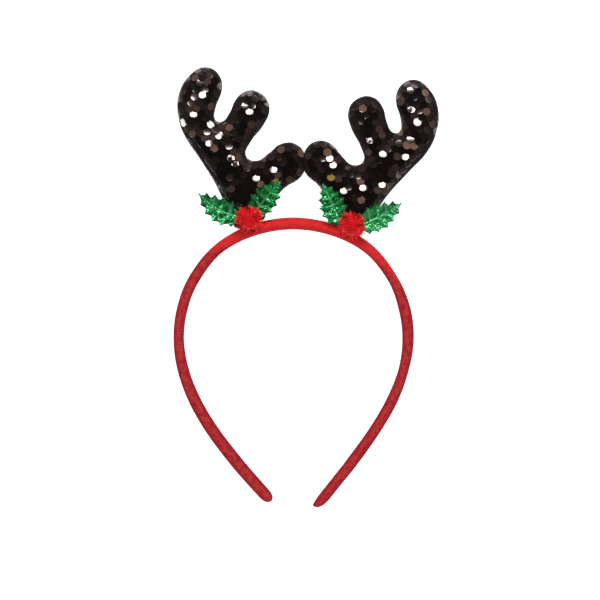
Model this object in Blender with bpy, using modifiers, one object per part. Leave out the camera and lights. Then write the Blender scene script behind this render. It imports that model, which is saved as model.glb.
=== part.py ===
"""Reindeer antler headband, lying on its back.

A satin-wrapped band stands open towards -Y. Two padded antlers sit astride its top and
point towards +Y. Each antler's foot carries two holly leaves and one round berry. +Z is the
front of the headband, the side that faces the viewer. All sizes are in metres.
"""

import math

import bmesh
import bpy
import numpy as np
from mathutils import Matrix, Vector

# Fits
CLEARANCE = 0.0003        # gap between two pieces that touch

# Band
BAND_SPAN = 0.1269        # widest outer width of the arch
BAND_HEIGHT = 0.1494      # outer top to the end of the shorter leg
BAND_THICK = 0.0054       # across the wrapped strip, seen from the front
BAND_DEPTH = 0.0070       # front to back
LEG_EXTRA = 0.0030        # the leg on the +X side is this much longer
BAND_SIDES = 16           # facets round the section
BAND_STEPS = 3            # stretches between two rows of the path table

# Antlers
ANTLER_HEIGHT = 0.0900    # from the band's centre line to the top of the outer tine
ANTLER_SPREAD = 0.0560    # width across the three tines
EDGE_ROUND = 0.0055       # width of the padded edge's rounding, seen from the front
FOOT_WIDTH = 0.0165       # width of the foot that straddles the band
FLAP_THICK = 0.0012       # fabric in front of the band and behind it
FLAP_COVER = 0.0036       # how far the flaps reach over the band
MEET_SIDE = 0.0054        # where the inner tines press together, from the band's axis

# Leaves
LEAF_LENGTH = 0.0283
LEAF_WIDTH = 0.0150       # from spine to spine
LEAF_THICK = 0.0010
LEAF_FOLD = 0.0013        # how far the sides stand above the midrib
LEAF_RIPPLE = 0.0005      # spines stand up, scallops lie low
LEAF_START = 0.0020       # from the berry's axis to the leaf's stem end
LEAF_FLAT = 0.35          # share of the leaf that lies nearly flat, under the berry

# Berries
BERRY_RADIUS = 0.0074     # to the tips of the tinsel
BERRY_CORE = 0.0057       # to the valleys between the strips
BERRY_SEAT = 0.0045       # from the centre down to the glued underside
BERRY_UP = 0.0060         # from the band's centre line, along the antler
BERRY_RUFFLE = 0.12       # share by which the strips differ in length
BERRY_SMOOTH = 0.6        # no strips below this share of BERRY_SEAT under the centre

# What the sizes above lead to
BAND_HALF = (BAND_SPAN - BAND_THICK) / 2
BAND_DROP = BAND_HEIGHT - BAND_THICK / 2
ANTLER_THICK = BAND_DEPTH + 2 * (CLEARANCE + FLAP_THICK)
LEAF_BED = ANTLER_THICK + CLEARANCE
BERRY_BED = LEAF_BED + LEAF_THICK + CLEARANCE

# Half of the band's centre line, from the top to the tip.
# side: share of BAND_HALF; down: share of BAND_DROP.
BAND_PATH = (
    (0.000, 0.000),
    (0.363, 0.026),
    (0.665, 0.095),
    (0.872, 0.203),
    (0.973, 0.312),
    (1.000, 0.420),
    (0.960, 0.528),
    (0.860, 0.637),
    (0.708, 0.745),
    (0.517, 0.854),
    (0.373, 0.926),
    (0.209, 1.000),
)

# The antler's outline, drawn upright, from the outer side of the foot round the three tines
# to the inner side. across: share of ANTLER_SPREAD; up: share of ANTLER_HEIGHT; sway: how
# much of the outer tine's own lean the point takes.
ANTLER_OUTLINE = (
    (-0.166, 0.310, 0.0),
    (-0.234, 0.512, 0.0),
    (-0.292, 0.668, 0.5),
    (-0.280, 0.788, 0.9),
    (-0.193, 0.912, 1.0),
    (-0.028, 0.990, 1.0),
    (0.132, 0.997, 1.0),
    (0.218, 0.924, 1.0),
    (0.190, 0.841, 1.0),
    (0.068, 0.757, 0.7),
    (0.024, 0.690, 0.3),
    (0.076, 0.663, 0.0),
    (0.180, 0.698, 0.0),
    (0.283, 0.761, 0.0),
    (0.407, 0.784, 0.0),
    (0.524, 0.735, 0.0),
    (0.544, 0.646, 0.0),
    (0.436, 0.566, 0.0),
    (0.267, 0.498, 0.0),
    (0.180, 0.432, 0.0),
    (0.253, 0.378, 0.0),
    (0.388, 0.392, 0.0),
    (0.540, 0.422, 0.0),
    (0.672, 0.387, 0.0),
    (0.705, 0.296, 0.0),
    (0.615, 0.207, 0.0),
    (0.425, 0.176, 0.0),
    (0.250, 0.105, 0.0),
)
TINE_ROOT = (0.076, 0.622)    # where the outer tine sways from, as shares of the same sizes

# The foot's half outline, from the outer side downwards. across: share of half of
# FOOT_WIDTH; down: share of FOOT_WIDTH, below the band's centre line.
FOOT_OUTLINE = (
    (1.00, -0.20),
    (0.84, 0.40),
    (0.50, 0.95),
)

# The two antlers. side: +1 on +X; seat: foot from the band's axis, share of BAND_HALF;
# lean_deg: outwards from the band's own normal; sway_deg: outer tine, outwards; berry_side:
# berry outwards from the middle of the foot, share of FOOT_WIDTH.
ANTLERS = (
    ("left", -1, 0.360, 0.9, 2.0, -0.024),
    ("right", 1, 0.437, 6.7, -2.0, 0.079),
)

# One half of a holly leaf, stem end to tip, a row for each rib. mid: the rib's foot on the
# midrib; edge: its end, along the leaf; reach: share of half of LEAF_WIDTH; stand: +1 on a
# spine, -1 in a scallop.
LEAF_RIBS = (
    (0.00, 0.00, 0.12, 0.0),
    (0.05, 0.07, 0.40, 0.0),
    (0.10, 0.17, 0.84, 0.3),
    (0.20, 0.25, 0.62, -1.0),
    (0.26, 0.36, 1.00, 1.0),
    (0.37, 0.42, 0.68, -1.0),
    (0.44, 0.54, 0.97, 1.0),
    (0.54, 0.59, 0.58, -1.0),
    (0.61, 0.71, 0.80, 1.0),
    (0.71, 0.75, 0.38, -1.0),
    (0.78, 0.86, 0.52, 1.0),
    (0.87, 0.89, 0.20, 0.0),
    (1.00, 1.00, 0.02, 0.0),
)

# The four leaves. antler, place, turn_deg: outwards from upright along the antler; and as
# shares of LEAF_LENGTH, size: the leaf's own length; shift: outwards from the berry's axis;
# bow: the midrib's sideways curve, outwards; curl: tip upwards.
LEAVES = (
    ("left", "outer", 42.6, 1.00, 0.000, 0.099, 0.106),
    ("left", "inner", -59.6, 0.88, 0.000, 0.014, 0.078),
    ("right", "inner", -53.7, 0.86, -0.173, 0.000, 0.064),
    ("right", "outer", 32.2, 0.96, 0.067, 0.035, 0.120),
)

# name, colour, roughness, metallic
FINISHES = {
    "band": ((0.62, 0.035, 0.045), 0.45, 0.0),
    "antler": ((0.020, 0.016, 0.016), 0.30, 0.3),
    "leaf": ((0.02, 0.28, 0.07), 0.30, 0.7),
    "berry": ((0.70, 0.02, 0.03), 0.40, 0.2),
}


def clear_scene():
    """Remove whatever the open file holds."""
    for obj in list(bpy.data.objects):
        bpy.data.objects.remove(obj, do_unlink=True)


def new_collection(name):
    """Return a new collection in the scene."""
    made = bpy.data.collections.new(name)
    bpy.context.scene.collection.children.link(made)
    return made


def finish_for(kind, name):
    """Return the material of one piece."""
    colour, roughness, metallic = FINISHES[kind]
    made = bpy.data.materials.new(name)
    made.use_nodes = True
    shader = made.node_tree.nodes["Principled BSDF"]
    shader.inputs["Base Color"].default_value = (*colour, 1.0)
    shader.inputs["Roughness"].default_value = roughness
    shader.inputs["Metallic"].default_value = metallic
    return made


def add_piece(collection, name, mesh, kind):
    """Link a finished mesh as one named piece with its own material."""
    mesh.name = name
    mesh.materials.clear()
    mesh.materials.append(finish_for(kind, name))
    piece = bpy.data.objects.new(name, mesh)
    collection.objects.link(piece)
    return piece


def curve_to_mesh(curve_data):
    """Return the welded mesh of a curve, and remove the curve."""
    holder = bpy.data.objects.new("outline", curve_data)
    bpy.context.scene.collection.objects.link(holder)
    depsgraph = bpy.context.evaluated_depsgraph_get()
    mesh = bpy.data.meshes.new_from_object(holder.evaluated_get(depsgraph))
    bpy.data.objects.remove(holder, do_unlink=True)
    shell = bmesh.new()
    shell.from_mesh(mesh)
    bmesh.ops.remove_doubles(shell, verts=shell.verts, dist=1e-6)
    bmesh.ops.recalc_face_normals(shell, faces=shell.faces)
    shell.to_mesh(mesh)
    shell.free()
    return mesh


def smooth_path(points, steps):
    """Return a smooth line through the points, with this many steps between two of them."""
    points = np.asarray(points, dtype=float)
    slopes = np.gradient(points, axis=0)
    line = []
    for start in range(len(points) - 1):
        for step in range(steps):
            t = step / steps
            line.append(
                (2 * t**3 - 3 * t**2 + 1) * points[start]
                + (t**3 - 2 * t**2 + t) * slopes[start]
                + (3 * t**2 - 2 * t**3) * points[start + 1]
                + (t**3 - t**2) * slopes[start + 1]
            )
    line.append(points[-1])
    return np.array(line)


def band_line():
    """Return the band's centre line, from the -X tip over the top to the +X tip."""
    half = np.array([(side * BAND_HALF, -down * BAND_DROP) for side, down in BAND_PATH])
    left = half[::-1] * (-1, 1)
    tip_way = half[-1] - half[-2]
    right = half[1:].copy()
    right[-1] += tip_way / np.linalg.norm(tip_way) * LEG_EXTRA
    return smooth_path(np.vstack((left, right)), BAND_STEPS)


def band_normals(line):
    """Return the unit normals of the centre line, pointing out of the arch."""
    ways = np.gradient(line, axis=0)
    ways /= np.linalg.norm(ways, axis=1)[:, None]
    return np.stack((-ways[:, 1], ways[:, 0]), axis=1)


def rounded_tips(line):
    """Return the line with points close together at both tips, and their radius shares."""
    radius = BAND_THICK / 2
    shares = (0.04, 0.25, 0.60, 1.0)
    ends = []
    for tip, before in ((line[0], line[1]), (line[-1], line[-2])):
        way = (before - tip) / np.linalg.norm(before - tip)
        ends.append([tip + way * radius * share for share in shares])
    sizes = [math.sqrt(1 - (1 - share) ** 2) for share in shares]
    points = ends[0] + list(line[1:-1]) + ends[1][::-1]
    return points, sizes + [1.0] * (len(line) - 2) + sizes[::-1]


def band_mesh(grow):
    """Return the band's mesh, its surface moved out by the given distance.

    The legs fall from the height of the antlers' saddle to the floor at the tips.
    """
    line = band_line()
    points, sizes = rounded_tips(line)
    data = bpy.data.curves.new("band_path", "CURVE")
    data.dimensions = "3D"
    data.twist_mode = "Z_UP"
    data.bevel_depth = BAND_THICK / 2 + grow
    data.bevel_resolution = BAND_SIDES // 2 - 2
    data.use_fill_caps = True
    spline = data.splines.new("POLY")
    spline.points.add(len(points) - 1)
    for knot, (x, y), size in zip(spline.points, points, sizes):
        knot.co = (x, y, 0.0, 1.0)
        knot.radius = size
    mesh = curve_to_mesh(data)
    flatten = (BAND_DEPTH / 2 + grow) / (BAND_THICK / 2 + grow)
    fall = (ANTLER_THICK - BAND_DEPTH) / 2
    lowest = line[:, 1].min()
    for vertex in mesh.vertices:
        share = min(max(vertex.co.y / lowest, 0.0), 1.0)
        vertex.co.z = vertex.co.z * flatten + ANTLER_THICK / 2 - fall * share
    return mesh


def arch_filler():
    """Return a block that fills the arch below the ends of the feet's flaps."""
    line = band_line()
    inner = line + band_normals(line) * (BAND_THICK / 2 - FLAP_COVER)
    upper = inner[np.abs(line[:, 1]) < BAND_DROP / 3]
    data = bpy.data.curves.new("arch", "CURVE")
    data.dimensions = "2D"
    data.fill_mode = "BOTH"
    data.extrude = 2 * ANTLER_THICK
    spline = data.splines.new("POLY")
    spline.points.add(len(upper) - 1)
    for knot, (x, y) in zip(spline.points, upper):
        knot.co = (x, y, 0.0, 1.0)
    spline.use_cyclic_u = True
    return curve_to_mesh(data)


def antler_outline(side, sway_deg):
    """Return the closed outline of one antler in its own frame, foot at the origin."""
    root = Vector((TINE_ROOT[0] * ANTLER_SPREAD, TINE_ROOT[1] * ANTLER_HEIGHT))
    foot = [
        Vector((across * FOOT_WIDTH / 2, -down * FOOT_WIDTH)) for across, down in FOOT_OUTLINE
    ]
    points = [Vector((-point.x, point.y)) for point in reversed(foot)]
    for across, up, sway in ANTLER_OUTLINE:
        point = Vector((across * ANTLER_SPREAD, up * ANTLER_HEIGHT))
        turn = Matrix.Rotation(math.radians(sway_deg * sway), 2)
        points.append(root + turn @ (point - root))
    points += foot
    return [Vector((-side * point.x, point.y)) for point in points]


def antler_blank(side, sway_deg):
    """Return the padded antler before its foot is cut, in its own frame."""
    data = bpy.data.curves.new("antler_outline", "CURVE")
    data.dimensions = "2D"
    data.fill_mode = "BOTH"
    data.resolution_u = 4
    data.bevel_depth = EDGE_ROUND
    data.offset = -EDGE_ROUND
    data.bevel_resolution = 2
    outline = antler_outline(side, sway_deg)
    spline = data.splines.new("BEZIER")
    spline.bezier_points.add(len(outline) - 1)
    for knot, point in zip(spline.bezier_points, outline):
        knot.co = (point.x, point.y, 0.0)
        knot.handle_left_type = "AUTO"
        knot.handle_right_type = "AUTO"
    spline.use_cyclic_u = True
    mesh = curve_to_mesh(data)
    mesh.transform(Matrix.Diagonal((1, 1, ANTLER_THICK / 2 / EDGE_ROUND, 1)))
    return mesh


def foot_frame(side, seat, lean_deg):
    """Return the matrix that puts an upright antler on its seat on the band."""
    line = band_line()
    normals = band_normals(line)
    upper = line[:, 1] > -BAND_DROP / 2
    order = np.argsort(line[upper, 0])
    xs = line[upper, 0][order]
    x = side * seat * BAND_HALF
    y = np.interp(x, xs, line[upper, 1][order])
    out_x = np.interp(x, xs, normals[upper, 0][order])
    out_y = np.interp(x, xs, normals[upper, 1][order])
    turn = math.atan2(-out_x, out_y) - side * math.radians(lean_deg)
    return Matrix.Translation((x, y, ANTLER_THICK / 2)) @ Matrix.Rotation(turn, 4, "Z")


def cut(piece, cutter):
    """Cut one piece with another by a Boolean modifier."""
    modifier = piece.modifiers.new("cut_" + cutter.name, "BOOLEAN")
    modifier.operation = "DIFFERENCE"
    modifier.solver = "EXACT"
    modifier.object = cutter


def add_cutter(collection, name, mesh):
    """Link a mesh as a cutter, which is no piece of the headband."""
    cutter = bpy.data.objects.new(name, mesh)
    cutter.display_type = "WIRE"
    cutter.hide_render = True
    collection.objects.link(cutter)
    return cutter


def meeting_block(side):
    """Return the block beyond the plane where the inner tines press together."""
    reach = 2 * BAND_SPAN
    block = bmesh.new()
    bmesh.ops.create_cube(block, size=reach)
    middle = MEET_SIDE + side * (CLEARANCE / 2 - reach / 2)
    bmesh.ops.translate(block, verts=block.verts, vec=(middle, 0.0, 0.0))
    mesh = bpy.data.meshes.new("meeting")
    block.to_mesh(mesh)
    block.free()
    return mesh


def add_antler(collection, cutters, row):
    """Make one padded antler, astride the band."""
    name, side, seat, lean_deg, sway_deg, _ = row
    mesh = antler_blank(side, sway_deg)
    mesh.transform(foot_frame(side, seat, lean_deg))
    piece = add_piece(collection, "antler_" + name, mesh, "antler")
    meeting = add_cutter(cutters, "meeting_" + name, meeting_block(side))
    for cutter in (cutters.objects["band_room"], cutters.objects["arch_room"], meeting):
        cut(piece, cutter)
    return piece


def leaf_sheet(size, bow, curl):
    """Return the leaf's middle surface: a grid shaped along the ribs, tip towards +Y."""
    sheet = bmesh.new()
    bmesh.ops.create_grid(sheet, x_segments=4, y_segments=len(LEAF_RIBS) - 1, size=1.0)
    last = len(LEAF_RIBS) - 1
    for vertex in sheet.verts:
        mid, edge, reach, stand = LEAF_RIBS[round((vertex.co.y + 1) / 2 * last)]
        out = vertex.co.x
        along = mid + (edge - mid) * abs(out)
        lift = min(along / LEAF_FLAT, 1.0) ** 2
        vertex.co.x = out * reach * LEAF_WIDTH / 2 + bow * LEAF_LENGTH * 4 * along * (1 - along)
        vertex.co.y = along * size * LEAF_LENGTH
        vertex.co.z = curl * LEAF_LENGTH * along**2
        vertex.co.z += lift * (LEAF_FOLD * abs(out) * reach + LEAF_RIPPLE * stand * out**2)
    mesh = bpy.data.meshes.new("leaf")
    sheet.to_mesh(mesh)
    sheet.free()
    return mesh


def add_leaf(collection, row):
    """Make one holly leaf on the foot of its antler, its stem end under the berry."""
    antler, place, turn_deg, size, shift, bow, curl = row
    _, side, seat, lean_deg, _, berry_side = next(row for row in ANTLERS if row[0] == antler)
    mesh = leaf_sheet(size, side * bow, curl)
    start = Matrix.Translation((side * shift * LEAF_LENGTH, LEAF_START, 0.0))
    turn = Matrix.Rotation(-side * math.radians(turn_deg), 4, "Z")
    height = LEAF_BED + LEAF_THICK / 2 - ANTLER_THICK / 2
    berry = Matrix.Translation((side * berry_side * FOOT_WIDTH, BERRY_UP, height))
    mesh.transform(foot_frame(side, seat, lean_deg) @ berry @ turn @ start)
    piece = add_piece(collection, f"leaf_{antler}_{place}", mesh, "leaf")
    solidify = piece.modifiers.new("thickness", "SOLIDIFY")
    solidify.thickness = LEAF_THICK
    solidify.offset = 0.0
    return piece


def add_berry(collection, row):
    """Make one tinsel berry: a ball whose faces stand out in strips, glued flat below."""
    name, side, seat, lean_deg, _, berry_side = row
    ball = bmesh.new()
    bmesh.ops.create_icosphere(ball, subdivisions=3, radius=BERRY_CORE)
    lowest = -BERRY_SEAT * BERRY_SMOOTH
    upper = [face for face in ball.faces if face.calc_center_median().z > lowest]
    strips = bmesh.ops.poke(ball, faces=upper)["verts"]
    for number, vertex in enumerate(strips):
        shorter = (BERRY_RADIUS - BERRY_CORE) * BERRY_RUFFLE * (number * 7 % 5)
        vertex.co = vertex.co.normalized() * (BERRY_RADIUS - shorter)
    for vertex in ball.verts:
        vertex.co.z = max(vertex.co.z, -BERRY_SEAT)
    mesh = bpy.data.meshes.new("berry")
    ball.to_mesh(mesh)
    ball.free()
    height = BERRY_BED + BERRY_SEAT - ANTLER_THICK / 2
    place = Matrix.Translation((side * berry_side * FOOT_WIDTH, BERRY_UP, height))
    mesh.transform(foot_frame(side, seat, lean_deg) @ place)
    return add_piece(collection, "berry_" + name, mesh, "berry")


def stand_on_origin(collection):
    """Move every piece so that the origin lies under the middle of the whole."""
    bpy.context.view_layer.update()
    depsgraph = bpy.context.evaluated_depsgraph_get()
    corners = []
    for piece in collection.objects:
        mesh = piece.evaluated_get(depsgraph).to_mesh()
        corners += [piece.matrix_world @ vertex.co for vertex in mesh.vertices]
    corners = np.array(corners)
    low, high = corners.min(axis=0), corners.max(axis=0)
    move = Vector((-(low[0] + high[0]) / 2, -(low[1] + high[1]) / 2, -low[2]))
    for obj in bpy.context.scene.objects:
        obj.location += move


def build():
    """Build the whole headband."""
    clear_scene()
    pieces = new_collection("reindeer_antler_headband")
    cutters = new_collection("cutters")
    add_piece(pieces, "band", band_mesh(0.0), "band")
    add_cutter(cutters, "band_room", band_mesh(CLEARANCE))
    add_cutter(cutters, "arch_room", arch_filler())
    for row in ANTLERS:
        add_antler(pieces, cutters, row)
        add_berry(pieces, row)
    for row in LEAVES:
        add_leaf(pieces, row)
    stand_on_origin(pieces)


build()
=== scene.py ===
"""The dressed reindeer antler headband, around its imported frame.

The band gets its wound satin, each antler its padding, felt back, edge seam and rows of
sequins, each holly leaf its embossed foil, and each berry its tinsel. All sizes are in
metres. +Z is the front of the headband, which lies on its back on the floor.
"""

import logging
import math
from collections.abc import Callable, Iterator
from contextlib import contextmanager
from dataclasses import dataclass, field
from enum import Enum

import bmesh
import bpy
import numpy as np
from mathutils import Matrix, Vector, noise
from mathutils.bvhtree import BVHTree


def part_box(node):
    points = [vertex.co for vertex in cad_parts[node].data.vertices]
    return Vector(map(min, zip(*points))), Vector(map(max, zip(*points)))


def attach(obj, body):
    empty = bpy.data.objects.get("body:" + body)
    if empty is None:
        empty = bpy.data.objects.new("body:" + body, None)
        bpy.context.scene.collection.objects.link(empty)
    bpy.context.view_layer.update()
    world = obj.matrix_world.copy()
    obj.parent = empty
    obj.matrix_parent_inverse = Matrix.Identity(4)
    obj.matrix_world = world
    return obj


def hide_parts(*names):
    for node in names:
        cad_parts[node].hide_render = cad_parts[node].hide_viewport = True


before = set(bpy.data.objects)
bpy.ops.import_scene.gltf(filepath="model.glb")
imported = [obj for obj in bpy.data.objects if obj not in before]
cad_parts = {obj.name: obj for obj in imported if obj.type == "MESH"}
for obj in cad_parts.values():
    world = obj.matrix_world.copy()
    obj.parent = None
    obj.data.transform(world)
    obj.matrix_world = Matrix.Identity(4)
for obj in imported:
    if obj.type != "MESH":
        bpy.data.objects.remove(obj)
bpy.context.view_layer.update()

logging.basicConfig(level=logging.INFO, format="%(levelname)s %(message)s")
log = logging.getLogger("headband")

Piece = bpy.types.Object
Material = bpy.types.Material
Colour = tuple[float, float, float]
Pair = tuple[float, float]
Rows = tuple[tuple[float, ...], ...]

BODY = "root"
BAND_AXIS_X = -0.006725       # the arch's own middle line
FLOOR_ROOM = 0.0002           # soft pieces stay this far above the floor
OVERHEAD = 0.05               # a height above everything
RIB = 0.0015                  # from one rib of the ribbon to the next


class Side(Enum):
    """Which antler a piece belongs to, by the sign of its X."""

    LEFT = -1
    RIGHT = 1

    @property
    def word(self) -> str:
        """The side's name, as the pieces use it."""
        return self.name.lower()


class Place(Enum):
    """Where a leaf points from its berry."""

    INNER = "inner"
    OUTER = "outer"


class Slot(Enum):
    """The record's material slots."""

    SATIN = "red_satin"
    SEQUINS = "black_sequins"
    FOIL = "green_foil"
    TINSEL = "red_tinsel"


# ---------------------------------------------------------------------------------------
# Materials
# ---------------------------------------------------------------------------------------


class Value:
    """One output of a shader's nodes, for which Python's operators add Math nodes."""

    def __init__(self, shader: "Shader", socket: bpy.types.NodeSocket) -> None:
        """Keep the socket and the shader that it belongs to."""
        self.shader = shader
        self.socket = socket

    def _maths(self, operation: str, *values: "Value | float") -> "Value":
        """Return the output of one Math node."""
        inputs = dict(enumerate(values))
        return self.shader.node("ShaderNodeMath", {"operation": operation}, inputs)

    def __add__(self, other: "Value | float") -> "Value":
        """Return the sum."""
        return self._maths("ADD", self, other)

    __radd__ = __add__

    def __sub__(self, other: "Value | float") -> "Value":
        """Return the difference."""
        return self._maths("SUBTRACT", self, other)

    def __rsub__(self, other: float) -> "Value":
        """Return the difference, with a number first."""
        return self._maths("SUBTRACT", other, self)

    def __mul__(self, other: "Value | float") -> "Value":
        """Return the product."""
        return self._maths("MULTIPLY", self, other)

    __rmul__ = __mul__

    def sine(self) -> "Value":
        """Return the sine."""
        return self._maths("SINE", self)

    def clamped(self) -> "Value":
        """Return the value, held between 0 and 1."""
        return self._maths("MINIMUM", self._maths("MAXIMUM", self, 0.0), 1.0)


class Shader:
    """The nodes of one material."""

    def __init__(self, name: str) -> None:
        """Start a material with its Principled shader.

        Args:
            name: the material's name.
        """
        self.material = bpy.data.materials.new(name)
        self.material.use_nodes = True
        self.tree = self.material.node_tree
        self.surface = self.tree.nodes["Principled BSDF"]

    def node(
        self,
        kind: str,
        settings: dict | None = None,
        inputs: dict | None = None,
        output: int | str = 0,
    ) -> Value:
        """Add one node.

        Args:
            kind: the node's type.
            settings: its properties, and a ramp's stops as (place, colour) pairs.
            inputs: values or links for its sockets, by name or number.
            output: the output to return.

        Returns:
            The named output.
        """
        node = self.tree.nodes.new(kind)
        for key, value in (settings or {}).items():
            if key == "stops":
                self.fill_ramp(node.color_ramp, value)
            else:
                setattr(node, key, value)
        for key, value in (inputs or {}).items():
            self.put(node.inputs[key], value)
        return Value(self, node.outputs[output])

    def put(self, socket: bpy.types.NodeSocket, value: "Value | float | tuple") -> None:
        """Link a value to a socket, or set the socket to a constant.

        Args:
            socket: the input to feed.
            value: what feeds it.
        """
        if isinstance(value, Value):
            self.tree.links.new(value.socket, socket)
        else:
            socket.default_value = value

    def dress(self, **inputs: "Value | float | tuple") -> None:
        """Set the Principled shader's sockets.

        Args:
            inputs: values or links, by the socket's name with underscores for spaces.
        """
        for name, value in inputs.items():
            words = " ".join(
                word.upper() if word == "ior" else word.capitalize()
                for word in name.split("_")
            )
            self.put(self.surface.inputs[words], value)

    @staticmethod
    def fill_ramp(ramp: bpy.types.ColorRamp, stops: tuple) -> None:
        """Set a colour ramp's stops.

        Args:
            ramp: the ramp to fill.
            stops: its (place, colour) pairs, in order.
        """
        while len(ramp.elements) > len(stops):
            ramp.elements.remove(ramp.elements[-1])
        while len(ramp.elements) < len(stops):
            ramp.elements.new(1.0)
        for element, (place, colour) in zip(ramp.elements, stops):
            element.position = place
            element.color = (*colour, 1.0)

    def points(self) -> Value:
        """Return the surface's Object coordinates."""
        return self.node("ShaderNodeTexCoord", output="Object")

    def attribute(self, name: str) -> Value:
        """Return a number that the piece's mesh carries."""
        settings = {"attribute_type": "GEOMETRY", "attribute_name": name}
        return self.node("ShaderNodeAttribute", settings, output="Fac")

    def clouds(self, scale: float, detail: float, points: Value | None = None) -> Value:
        """Return a noise between 0 and 1, with this many features a metre."""
        inputs = {"Vector": points or self.points(), "Scale": scale, "Detail": detail}
        return self.node("ShaderNodeTexNoise", None, inputs)

    def cells(self, scale: float) -> Value:
        """Return the distance inside Voronoi cells, with this many cells a metre."""
        inputs = {"Vector": self.points(), "Scale": scale}
        return self.node("ShaderNodeTexVoronoi", {"feature": "F1"}, inputs, "Distance")

    def ramp(self, factor: Value, stops: tuple) -> Value:
        """Return a colour picked along a ramp."""
        return self.node("ShaderNodeValToRGB", {"stops": stops}, {"Fac": factor})

    def mix(
        self,
        factor: "Value | float",
        first: "Value | Colour",
        second: "Value | Colour",
    ) -> Value:
        """Blend two colours.

        Args:
            factor: the second one's share, from 0 to 1.
            first: the colour at 0.
            second: the colour at 1.

        Returns:
            The blended colour.
        """
        settings = {"data_type": "RGBA"}
        first, second = (
            value if isinstance(value, Value) else (*value, 1.0) for value in (first, second)
        )
        inputs = {"Factor": factor, 6: first, 7: second}
        return self.node("ShaderNodeMix", settings, inputs, 2)

    def bump(self, height: Value, depth: float, strength: float) -> Value:
        """Return the normal of a surface that rises by a height from 0 to 1, times depth."""
        inputs = {"Height": height, "Distance": depth, "Strength": strength}
        return self.node("ShaderNodeBump", None, inputs, "Normal")


@dataclass(frozen=True)
class SatinFinish:
    """Red satin ribbon, wound round the band."""

    light: Colour = (0.74, 0.029, 0.029)
    dark: Colour = (0.60, 0.019, 0.021)
    rust: Colour = (0.33, 0.060, 0.028)
    shaded_satin: Colour = (0.47, 0.024, 0.036)
    wine: Colour = (0.30, 0.012, 0.026)
    crimson: Colour = (0.21, 0.003, 0.012)
    sheen: Colour = (1.0, 0.45, 0.42)
    patch_scale: float = 420.0    # every scale is in features a metre
    speck_scale: float = 900.0
    fibre_scale: float = 5200.0
    streak_scale: Pair = (330.0, 1.6)   # along, and over half the width
    rust_share: float = 0.85      # the most that each of these takes over
    painted_shade_share: float = 0.94
    rib_shade_share: float = 0.11
    weave_depth: float = 0.00005

    def material(self) -> Material:
        """Build the material: threads across the ribbon with painted shade between the ribs, faint
        patches, painted shade on parts of the band and along its edges, and a soft sheen.

        Returns:
            The red satin.
        """
        shader = Shader("red_satin")
        along = shader.attribute("along")
        threads = (along * (2 * math.pi / RIB)).sine() * 0.5 + 0.5
        patches = shader.clouds(self.patch_scale, 4.0)
        body = shader.ramp(patches, ((0.20, self.dark), (0.70, self.light)))
        across = shader.attribute("across")
        long, wide = self.streak_scale
        lane = shader.node("ShaderNodeCombineXYZ", None, {"X": along * long, "Y": across * wide})
        streaks = shader.clouds(1.0, 3.0, lane)
        edge = (across * across).clamped()
        shade = shader.ramp(streaks, ((0.36, self.wine), (0.60, self.shaded_satin)))
        specks = shader.clouds(self.speck_scale, 3.0)
        rusty = ((specks + streaks) * 4.5 - 4.1 - edge * 2.4).clamped()
        shade = shader.mix(rusty * self.rust_share, shade, self.rust)
        # painted shade along both edges of the band, where its rounded sides turn from the light
        shade = shader.mix((edge * 1.8 - 0.36).clamped(), shade, self.crimson)
        # painted shade: the satin turns to the darker shade colours where the band marks it
        colour = shader.mix(shader.attribute("wear_and_painted_shade") * self.painted_shade_share, body, shade)
        # painted shade between the ribs: thin darker lines across the ribbon
        colour = shader.mix(threads * self.rib_shade_share, colour, self.crimson)
        weave = threads * 0.6 + shader.clouds(self.fibre_scale, 2.0) * 0.4
        shader.dress(
            base_color=colour,
            roughness=0.42 + patches * 0.14,
            normal=shader.bump(weave, self.weave_depth, 0.7),
            specular_ior_level=0.03,
            specular_tint=(*self.sheen, 1.0),
        )
        return shader.material


@dataclass(frozen=True)
class SequinFinish:
    """Black lacquered sequins, a few gold; their lighter, warmer tones and the rare nearly white
    ones are painted reflections.
    """

    black: Colour = (0.003, 0.0022, 0.0022)
    smoke: Colour = (0.016, 0.0100, 0.0095)
    brown_reflection: Colour = (0.058, 0.036, 0.030)
    tan: Colour = (0.17, 0.098, 0.072)
    gold: Colour = (0.22, 0.18, 0.03)
    painted_flash: Colour = (0.95, 0.92, 0.95)
    glint: Colour = (1.0, 0.86, 0.82)
    lacquer: Colour = (1.0, 0.90, 0.87)
    scuff_scale: float = 2600.0
    dent_scale: float = 900.0
    dent_depth: float = 0.00008

    def material(self) -> Material:
        """Build the material: the colour of each sequin from its tone; the lighter stops stand for
        painted reflections.

        Returns:
            The sequins' lacquer.
        """
        shader = Shader("black_sequins")
        tone = shader.attribute("tone")
        # black through smoke is random tone; the warmer, lighter stops and the near-white one are
        # painted reflections
        stops = (
            (0.0, self.black),
            (0.35, self.smoke),
            (0.60, self.brown_reflection),
            (0.70, self.tan),
            (0.80, self.gold),
            (0.90, self.painted_flash),
        )
        scuffs = shader.clouds(self.scuff_scale, 3.0)
        dents = shader.clouds(self.dent_scale, 1.0)
        shader.dress(
            base_color=shader.ramp(tone, stops),
            roughness=0.10 + scuffs * 0.12,
            specular_ior_level=0.6,
            specular_tint=(*self.glint, 1.0),
            coat_weight=0.5,
            coat_roughness=0.06,
            coat_tint=(*self.lacquer, 1.0),
            normal=shader.bump(dents, self.dent_depth, 0.25),
        )
        return shader.material


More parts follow.
